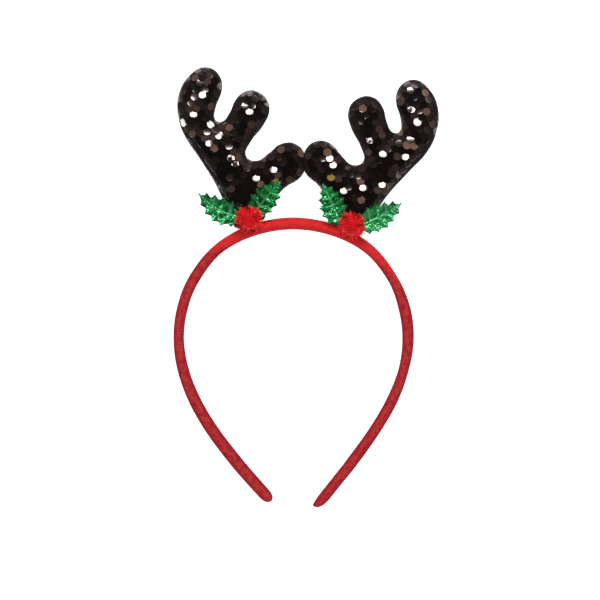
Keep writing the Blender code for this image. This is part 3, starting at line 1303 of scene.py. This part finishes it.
    def is_tipped(self, pose: Matrix) -> bool:
        """Tell whether the cloth alone tips a sequin as far as the loose ones.

        Args:
            pose: how the sequin is turned.

        Returns:
            True if it would shine like a loose one.
        """
        forward, sideways = (math.radians(angle) for angle in self.tipped_deg)
        across = -self.side.value * math.sin(sideways)
        facing = Vector((across, math.sin(forward), math.cos(forward)))
        return (pose @ Vector((0.0, 0.0, 1.0))).angle(facing) < math.radians(self.alike_deg)

    def leaning(self, normal: Vector) -> Matrix:
        """Find the turn that lays a sequin on the cloth, short of the steepest lean.

        Args:
            normal: the way the cloth faces.

        Returns:
            The turn.
        """
        upright = Vector((0.0, 0.0, 1.0))
        lean = min(upright.angle(normal), math.radians(self.steepest_deg))
        axis = upright.cross(normal)
        return Matrix.Rotation(lean, 4, axis) if axis.length > 1e-6 else Matrix.Identity(4)

    def lay_down(self, piece: Piece, cloth: BVHTree, count: int) -> None:
        """Bend the sequins round the edge, and press them flat under leaves and berry.

        Args:
            piece: the sequins.
            cloth: the padding's surface.
            count: how many sequins there are.
        """
        places = Bench.places(piece)
        least, more = self.stand_off
        level, blend = self.bending
        for number, place in enumerate(places):
            spot, normal, _, _ = cloth.find_nearest(Vector(place))
            away = Vector(place) - spot
            most = least + more * max(normal.z, 0.0) ** 4
            steep = min(1.0, max(0.0, (level - normal.z) / blend))
            bent = most * math.tanh(away.length / most)
            rest = bent * steep + min(away.length, most) * (1 - steep)
            places[number] = spot + away.normalized() * rest
        under = self.covered(places, count) & (places[:, 2] > self.pressed)
        places[under, 2] = self.pressed
        Bench.move(piece, places)

    def covered(self, places: np.ndarray, count: int) -> np.ndarray:
        """Find the sequins that lie under a leaf or the berry.

        Args:
            places: the sequins' vertices.
            count: how many sequins there are.

        Returns:
            True for each vertex of a covered sequin.
        """
        names = (f"leaf_{self.side.word}", f"berry_{self.side.word}")
        trees = [
            Bench.surface(node)
            for name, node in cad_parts.items()
            if name.startswith(names)
        ]
        up = Vector((0.0, 0.0, 1.0))
        under = np.array(
            [any(tree.ray_cast(Vector((x, y, 0.0)), up)[0] for tree in trees) for x, y, _ in places]
        )
        return np.repeat(under.reshape(count, -1).any(axis=1), len(places) // count)

    def tone(self, draw: float, normal: Vector) -> float:
        """Pick a sequin's tone: mostly black with random tone, lighter and warmer as painted
        reflection where the cloth rounds off upwards or sideways, and now and then a near-white
        painted flash.

        Args:
            draw: a random number from 0 to 1.
            normal: the way the cloth faces.

        Returns:
            The tone, from 0 for black to 1 for a near-white painted flash.
        """
        # painted reflection: cloth facing up, towards the key, or turning off to the sides gives
        # lighter, warmer tones; cloth facing down less so
        upward = max(normal.y, 0.0)
        for start, tone in (self.painted_flash, self.gold):
            if draw > start:
                return tone
        start, tone = self.tan
        if draw > start - 0.12 * upward:
            return tone + (draw - 0.94) * 1.2
        edge = (1.0 - normal.z) * min(1.0, 1.0 + 1.6 * normal.y) + 0.35 * upward
        share = max(0.0, (draw - 0.45) / 0.50)
        return min(self.reflection_cap, 0.02 + 0.54 * share**1.7 + max(edge, 0.0) * 0.55)

    def build(
        self,
        felt: Material,
        thread: Material,
        lacquer: Material,
    ) -> None:
        """Build the padding, its seam and its sequins.

        Args:
            felt: the padding's finish.
            thread: the seam's finish.
            lacquer: the sequins' finish.
        """
        padding = self.padding(felt)
        self.seam(padding, thread)
        self.sequins(padding, lacquer)


# ---------------------------------------------------------------------------------------
# Leaves
# ---------------------------------------------------------------------------------------


@dataclass
class HollyLeaf:
    """One embossed foil leaf, its stem end under the berry."""

    side: Side
    place: Place
    stem: Pair                    # where the midrib starts
    turn_deg: float               # way of the midrib, from +Y
    length: float
    bow: float                    # the midrib's curve to the side
    curl: float                   # how far the tip stands up
    seed: int
    pale: float                   # painted light: how much lighter this leaf's foil is painted, for how it faces the lights
    base: float = 0.0108          # height of the foil at the stem
    width: float = 0.0150
    fold: float = 0.0013
    ripple: float = 0.0005        # how far the spines stand up and the hollows down
    flat: float = 0.35            # up to this share of its length the leaf flattens out
    foil: float = 0.00045
    columns: int = 72
    rows_per_rib: int = 10
    scallop: float = 0.30         # how much shallower the scallops are than in the solid
    midrib: float = 0.00034       # half the embossed midrib's width
    spines: tuple[int, ...] = (2, 4, 6, 8, 10)   # rows of the table that side veins run to
    vein: float = 0.14            # half a side vein's width, in rows
    vein_bow: float = 0.25        # how far it curves towards the stem, in rows
    crinkles: Rows = ((430.0, 0.62), (930.0, 0.38))   # features a metre, and their share
    # the noise's roughness, step between its octaves, their number, offset and gain
    crinkle_form: tuple[float, float, int, float, float] = (0.8, 2.1, 2, 1.0, 2.0)
    crinkle_stretch: float = 0.50   # along the side veins
    emboss: float = 0.0017        # how deep the embossing is
    ribs: Rows = field(             # along the midrib, along the edge, half width, and which
        default=(                   # rows are spines (1) or hollows (-1), all as shares
            (0.00, 0.00, 0.12, 0.0),
            (0.05, 0.07, 0.40, 0.0),
            (0.10, 0.17, 0.84, 0.3),
            (0.20, 0.25, 0.62, -1.0),
            (0.26, 0.36, 1.00, 1.0),
            (0.37, 0.42, 0.68, -1.0),
            (0.44, 0.54, 0.97, 1.0),
            (0.54, 0.59, 0.58, -1.0),
            (0.61, 0.71, 0.80, 1.0),
            (0.71, 0.75, 0.38, -1.0),
            (0.78, 0.86, 0.52, 1.0),
            (0.87, 0.89, 0.20, 0.0),
            (1.00, 1.00, 0.02, 0.0),
        ),
        repr=False,
    )

    @property
    def name(self) -> str:
        """The CAD node that the leaf replaces."""
        return f"leaf_{self.side.word}_{self.place.value}"

    def rib_values(self, along: np.ndarray) -> tuple[np.ndarray, ...]:
        """Read the rib table between its rows, with cusps at the spines.

        Args:
            along: places in the table, as fractional rows.

        Returns:
            The table's four columns at those places.
        """
        table = np.array(self.ribs)
        low = np.flatnonzero(table[:, 3] < 0)
        spine = np.minimum(table[low - 1, 2], table[low + 1, 2])
        table[low, 2] += (spine - table[low, 2]) * self.scallop
        row = np.minimum(along.astype(int), len(table) - 2)
        share = along - row
        first, second = table[row], table[row + 1]
        outwards = second[:, 3] > first[:, 3]
        eased = np.where(outwards, share**1.6, 1 - (1 - share) ** 1.6)
        middle = first[:, 0] + (second[:, 0] - first[:, 0]) * share
        edge = first[:, 1] + (second[:, 1] - first[:, 1]) * share
        reach = first[:, 2] + (second[:, 2] - first[:, 2]) * eased
        stand = first[:, 3] + (second[:, 3] - first[:, 3]) * share
        return middle, edge, reach, stand

    def veins(self, x: np.ndarray, out: np.ndarray, row: np.ndarray) -> np.ndarray:
        """Find where the midrib and the side veins run.

        Args:
            x: how far each vertex lies from the midrib.
            out: the same as a share of the leaf's reach there.
            row: its place in the rib table.

        Returns:
            1 on a vein, falling to 0 beside it.
        """
        lines = np.exp(-((x / self.midrib) ** 2)) * (1 - 0.5 * row / row.max())
        for spine in self.spines:
            curve = row - spine - self.vein_bow * (1 - out**2)
            vein = np.exp(-((curve / self.vein) ** 2)) * np.clip(1.10 - out, 0, 0.8)
            lines = np.maximum(lines, vein)
        return lines

    def relief(self, x: np.ndarray, y: np.ndarray, lines: np.ndarray) -> np.ndarray:
        """Emboss the foil with veins and crinkles.

        Args:
            x: how far each vertex lies from the midrib.
            y: how far it lies from the stem.
            lines: where the veins run.

        Returns:
            The embossing's height, from 0 to 1.
        """
        crinkle = np.zeros_like(x)
        along = (np.abs(x) + y) * 0.7 * self.crinkle_stretch
        beside = (y - np.abs(x)) * 0.7
        for scale, share in self.crinkles:
            spots = [
                Vector((a * scale + self.seed * 9.7, b * scale, self.seed * 3.1))
                for a, b in zip(along, beside)
            ]
            rough = np.array(
                [noise.ridged_multi_fractal(spot, *self.crinkle_form) for spot in spots]
            )
            low, high = np.percentile(rough, (3, 97))
            crinkle += share * np.clip((rough - low) / (high - low), 0.0, 1.0)
        return np.clip(0.80 * crinkle + 0.40 * lines, 0.0, 1.2) / 1.2

    def build(self, material: Material) -> Piece:
        """Shape a grid into the embossed leaf and lay it in the CAD leaf's place.

        Args:
            material: the foil.

        Returns:
            The leaf.
        """
        Bench.clear()
        last = len(self.ribs) - 1
        rows = last * self.rows_per_rib
        bpy.ops.mesh.primitive_grid_add(x_subdivisions=self.columns, y_subdivisions=rows, size=2.0)
        piece = Bench.named(self.name + "_foil")
        grid = Bench.places(piece)
        across, row = grid[:, 0], (grid[:, 1] + 1) / 2 * last
        out = np.abs(across)
        middle, edge, reach, stand = self.rib_values(row)
        along = middle + (edge - middle) * out
        x = across * reach * self.width / 2
        y = along * self.length
        lines = self.veins(x, out, row)
        relief = self.relief(x, y, lines)
        lift = np.minimum(along / self.flat, 1.0) ** 2
        rim = np.clip((1 - out) * 4, 0.15, 1.0)
        z = self.curl * along**2
        z += lift * (self.fold * out * reach + self.ripple * stand * out**2)
        z += (relief - 0.45) * self.emboss * rim * (0.30 + 0.70 * lift)
        x = x + self.bow * 4 * along * (1 - along)
        turn = math.radians(self.turn_deg)
        places = np.stack(
            (
                self.stem[0] + x * math.cos(turn) - y * math.sin(turn),
                self.stem[1] + x * math.sin(turn) + y * math.cos(turn),
                self.base + z,
            ),
            axis=1,
        )
        Bench.move(piece, places)
        # the relief and the pale share also drive the foil's painted shade and highlights
        Bench.note(piece, "relief", relief)
        Bench.note(piece, "vein", lines)
        Bench.note(piece, "pale", np.full(len(places), self.pale))
        Bench.modify(piece, "SOLIDIFY", thickness=self.foil, offset=0.0)
        Bench.smooth(piece, 40.0)
        return Bench.finish(piece, material, Slot.FOIL, self.name)


# ---------------------------------------------------------------------------------------
# Berries
# ---------------------------------------------------------------------------------------


@dataclass
class TinselBerry:
    """One berry: a ball of tinsel strands, tied at its core and glued on below."""

    side: Side
    centre: tuple[float, float, float]
    seed: int
    radius: float = 0.0074
    core: float = 0.0056          # its radius
    seat: float = 0.0044          # how far below the centre it is flat
    strands: int = 760
    strand_width: float = 0.00054
    splay: float = 0.75           # how far most strands lie over, outwards
    splayed: float = 0.70         # and how many of them do
    lowest: float = 1.62          # the angle from upright past which none lies over
    uneven: float = 0.06          # how far strands stand out of their even spread
    shortest: float = 0.84        # as a share of the radius
    rooted: float = 0.72          # where strands start, as a share of the core
    crease_turn: float = 0.22     # how far the creases draw strands together
    long_one: Pair = (0.16, 1.16)   # how many low ones are longer, and by what
    glints: Pair = (0.95, 0.994)   # draws from here on: long ones, others
    bend: float = 0.0006          # of a strand, at its end
    knots: Pair = (1300.0, 0.00035)   # of the core: how many a metre, and how high

    @property
    def name(self) -> str:
        """The CAD node that the tinsel replaces."""
        return f"berry_{self.side.word}"

    def one_strand(self) -> Piece:
        """Model one strand: a narrow three-sided foil strip that bends and tapers.

        Returns:
            The strand, one metre long before it is scaled.
        """
        Bench.clear()
        bpy.ops.mesh.primitive_cone_add(
            vertices=3, radius1=self.strand_width / 2, radius2=self.strand_width / 7,
            depth=1.0, location=(0.0, 0.0, 0.5),
        )
        piece = Bench.named("strand")
        bpy.ops.object.transform_apply(location=True, rotation=False, scale=False)
        with Bench.editing(piece):
            for height in (0.4, 0.75):
                bpy.ops.mesh.select_all(action="SELECT")
                bpy.ops.mesh.bisect(plane_co=(0.0, 0.0, height), plane_no=(0.0, 0.0, 1.0))
        places = Bench.places(piece)
        Bench.note(piece, "root", places[:, 2])
        places[:, 0] *= 1.5
        places[:, 1] *= 0.5
        places[:, 0] += self.bend * places[:, 2] ** 2
        Bench.move(piece, places)
        return piece

    def ball(self, material: Material) -> Piece:
        """Build the knotted core, flat below where it is glued.

        Args:
            material: the tinsel.

        Returns:
            The core.
        """
        Bench.clear()
        bpy.ops.mesh.primitive_ico_sphere_add(subdivisions=4, radius=self.core)
        piece = Bench.named(self.name + "_core")
        with Bench.editing(piece):
            bpy.ops.mesh.bisect(
                plane_co=(0, 0, -self.seat), plane_no=(0, 0, 1), clear_inner=True, use_fill=True
            )
        places = Bench.places(piece)
        scale, depth = self.knots
        for number, place in enumerate(places):
            if place[2] > -self.seat + 1e-5:
                rough = noise.noise(Vector(place) * scale) * depth
                places[number] += place / np.linalg.norm(place) * rough
        # painted shade: the core takes a dark tone and part of the roots' painted shadow
        Bench.note(piece, "tone", np.full(len(places), 0.25))
        Bench.note(piece, "root", np.full(len(places), 0.35))
        Bench.move(piece, places + np.array(self.centre))
        Bench.smooth(piece)
        return Bench.finish(piece, material, Slot.TINSEL)

    def crease(self, polar: float, azimuth: float) -> float:
        """Return how far a strand lies out of the ball's creases, from about -1 to 1."""
        ring = (math.cos(azimuth) * 3.2, math.sin(azimuth) * 3.2)
        return noise.noise(Vector((*ring, polar * 0.7 + self.seed * 5.3)))

    def tinsel(self, material: Material) -> Piece:
        """Set the strands all round the core, down to the glued side.

        Args:
            material: the tinsel.

        Returns:
            All strands, as one piece.
        """
        draw = np.random.default_rng(self.seed)
        spots, tones = [], []
        turn = math.pi * (3 - math.sqrt(5))
        bottom = -self.seat / self.radius
        for number in range(self.strands):
            height = 1 - (1 - bottom) * (number + 0.5) / self.strands
            ring = math.sqrt(1 - height**2)
            way = Vector((ring * math.cos(number * turn), ring * math.sin(number * turn), height))
            way = (way + Vector(draw.normal(0.0, self.uneven, 3))).normalized()
            reach = self.radius * draw.uniform(self.shortest, 1.0)
            start = way * self.core * self.rooted
            polar = math.acos(max(-1.0, min(1.0, way.z)))
            azimuth = math.atan2(way.y, way.x)
            crease = self.crease(polar, azimuth)
            azimuth += self.crease_turn * crease
            if draw.random() < self.splayed:
                over = polar + self.splay * math.sin(polar) ** 0.7
                polar = min(over, max(polar, self.lowest))
            long_share, long_reach = self.long_one
            if polar > 1.2 and draw.random() < long_share:
                reach *= long_reach
            flat = math.sin(polar)
            end = Vector((flat * math.cos(azimuth), flat * math.sin(azimuth), math.cos(polar)))
            end *= reach
            end.z = max(end.z, -self.seat)
            strand = end - start
            face = strand.to_track_quat("Z", "Y").to_matrix().to_4x4()
            spin = Matrix.Rotation(draw.uniform(0, 2 * math.pi), 4, "Z")
            size = Matrix.Diagonal((1.0, 1.0, strand.length, 1.0))
            spots.append(Matrix.Translation(Vector(self.centre) + start) @ face @ spin @ size)
            # painted glint: a few strands, more of the long ones at the rim, take the lightest tone
            long_glint, glint = self.glints
            if draw.random() > (long_glint if reach > self.radius else glint):
                tones.append(1.0)
            else:
                # painted shade in the ball's creases: strands there get darker tones, with random
                # tone on top
                tone = 0.42 + 1.3 * crease + draw.normal(0.0, 0.13)
                tones.append(min(0.9, max(0.0, tone)))
        piece = Bench.scatter(self.name + "_tinsel", self.one_strand(), spots, {"tone": tones})
        return Bench.finish(piece, material, Slot.TINSEL, self.name)

    def build(self, material: Material) -> None:
        """Build the core and the tinsel on it."""
        self.ball(material)
        self.tinsel(material)


# ---------------------------------------------------------------------------------------
# Floor, light and camera
# ---------------------------------------------------------------------------------------


@dataclass
class Studio:
    """The pale floor, the soft lights and the camera above."""

    view_x: float = -0.00323
    view_y: float = -0.00705
    focal_mm: float = 300.0
    field: float = 0.318          # what the picture's width shows, at this height:
    field_height: float = 0.005
    sensor_mm: float = 36.0

    def floor(self) -> None:
        """Lay the plain floor."""
        Bench.clear()
        bpy.ops.mesh.primitive_plane_add(size=6.0)
        piece = Bench.named("floor")
        shader = Shader("floor_white")
        shader.dress(
            base_color=(0.95, 0.95, 0.95, 1.0),
            roughness=0.9,
            emission_color=(1.0, 1.0, 1.0, 1.0),
            emission_strength=0.80,
        )
        piece.data.materials.append(shader.material)

    @staticmethod
    def lamp(name: str, place: Vector, size: float, watts: float, glossy: bool) -> None:
        """Hang one square soft light that faces the headband.

        Args:
            name: the lamp's name.
            place: where it hangs.
            size: the length of its side.
            watts: its strength.
            glossy: whether shiny pieces mirror it.
        """
        data = bpy.data.lights.new(name, "AREA")
        data.shape = "SQUARE"
        data.size = size
        data.energy = watts
        lamp = Bench.add(name, data)
        facing = (-place).to_track_quat("-Z", "Y").to_matrix().to_4x4()
        lamp.matrix_world = Matrix.Translation(place) @ facing
        lamp.visible_glossy = glossy

    def lights(self) -> None:
        """Hang the lights: a key from beyond the antlers and wide soft fills."""
        self.lamp("key", Vector((0.0, 0.60, 0.58)), 0.20, 3.5, True)
        self.lamp("front_fill", Vector((0.0, -0.75, 0.95)), 0.9, 6.0, False)
        self.lamp("top_fill", Vector((0.0, 0.3, 3.6)), 2.0, 60.0, False)

    def world(self) -> None:
        """Set the surroundings: dark above, pale towards the horizon."""
        world = bpy.data.worlds.new("studio")
        world.use_nodes = True
        tree = world.node_tree
        back = tree.nodes["Background"]
        sky = tree.nodes.new("ShaderNodeTexCoord")
        split = tree.nodes.new("ShaderNodeSeparateXYZ")
        ramp = tree.nodes.new("ShaderNodeValToRGB")
        Shader.fill_ramp(
            ramp.color_ramp,
            ((0.0, (0.45, 0.44, 0.43)), (0.30, (0.26, 0.235, 0.225)), (0.72, (0.03, 0.03, 0.03))),
        )
        tree.links.new(sky.outputs["Generated"], split.inputs[0])
        tree.links.new(split.outputs["Z"], ramp.inputs["Fac"])
        tree.links.new(ramp.outputs["Color"], back.inputs["Color"])
        back.inputs["Strength"].default_value = 0.7
        bpy.context.scene.world = world

    def camera(self) -> None:
        """Look straight down on the headband, as the photograph does."""
        data = bpy.data.cameras.new("camera")
        data.lens = self.focal_mm
        data.sensor_width = self.sensor_mm
        distance = self.field * self.focal_mm / self.sensor_mm
        camera = Bench.add("camera", data)
        camera.location = (self.view_x, self.view_y, distance + self.field_height)
        bpy.context.scene.camera = camera

    def build(self) -> None:
        """Set up everything that isn't part of the headband."""
        bpy.context.scene.view_settings.view_transform = "Standard"
        self.camera()
        self.floor()
        self.lights()
        self.world()


# ---------------------------------------------------------------------------------------
# The whole headband
# ---------------------------------------------------------------------------------------


ANTLERS = (      # side, foot, lean, slope of the rows, seed
    (Side.LEFT, (-0.028595, 0.029619), 19.765, 9.0, 11),
    (Side.RIGHT, (0.019822, 0.027732), -30.102, -8.0, 23),
)
LEAVES = (       # side, place, stem, way, length, bow, curl, seed, painted lightness
    (Side.LEFT, Place.OUTER, (-0.032023, 0.036327), 62.365, 0.0283, -0.0028, 0.0030, 1, 0.01),
    (Side.LEFT, Place.INNER, (-0.028970, 0.036935), -39.835, 0.0249, -0.0004, 0.0022, 2, -0.07),
    (Side.RIGHT, Place.INNER, (0.018672, 0.032142), 23.598, 0.0243, 0.0, 0.0018, 3, 0.0),
    (Side.RIGHT, Place.OUTER, (0.026612, 0.031520), -62.302, 0.0272, 0.0010, 0.0034, 4, 0.15),
)
BERRIES = (      # side, centre, seed
    (Side.LEFT, (-0.030252, 0.035399, 0.0161), 5),
    (Side.RIGHT, (0.023959, 0.032269, 0.0161), 6),
)


def main() -> None:
    """Build the studio and the headband's parts in order."""
    Studio().build()
    Band().build(SatinFinish().material())
    felt, thread = FeltFinish().material(), ThreadFinish().material()
    lacquer = SequinFinish().material()
    for row in ANTLERS:
        Antler(*row).build(felt, thread, lacquer)
    foil = FoilFinish().material()
    for row in LEAVES:
        HollyLeaf(*row).build(foil)
    tinsel = TinselFinish().material()
    for row in BERRIES:
        TinselBerry(*row).build(tinsel)


if __name__ == "__main__":
    main()
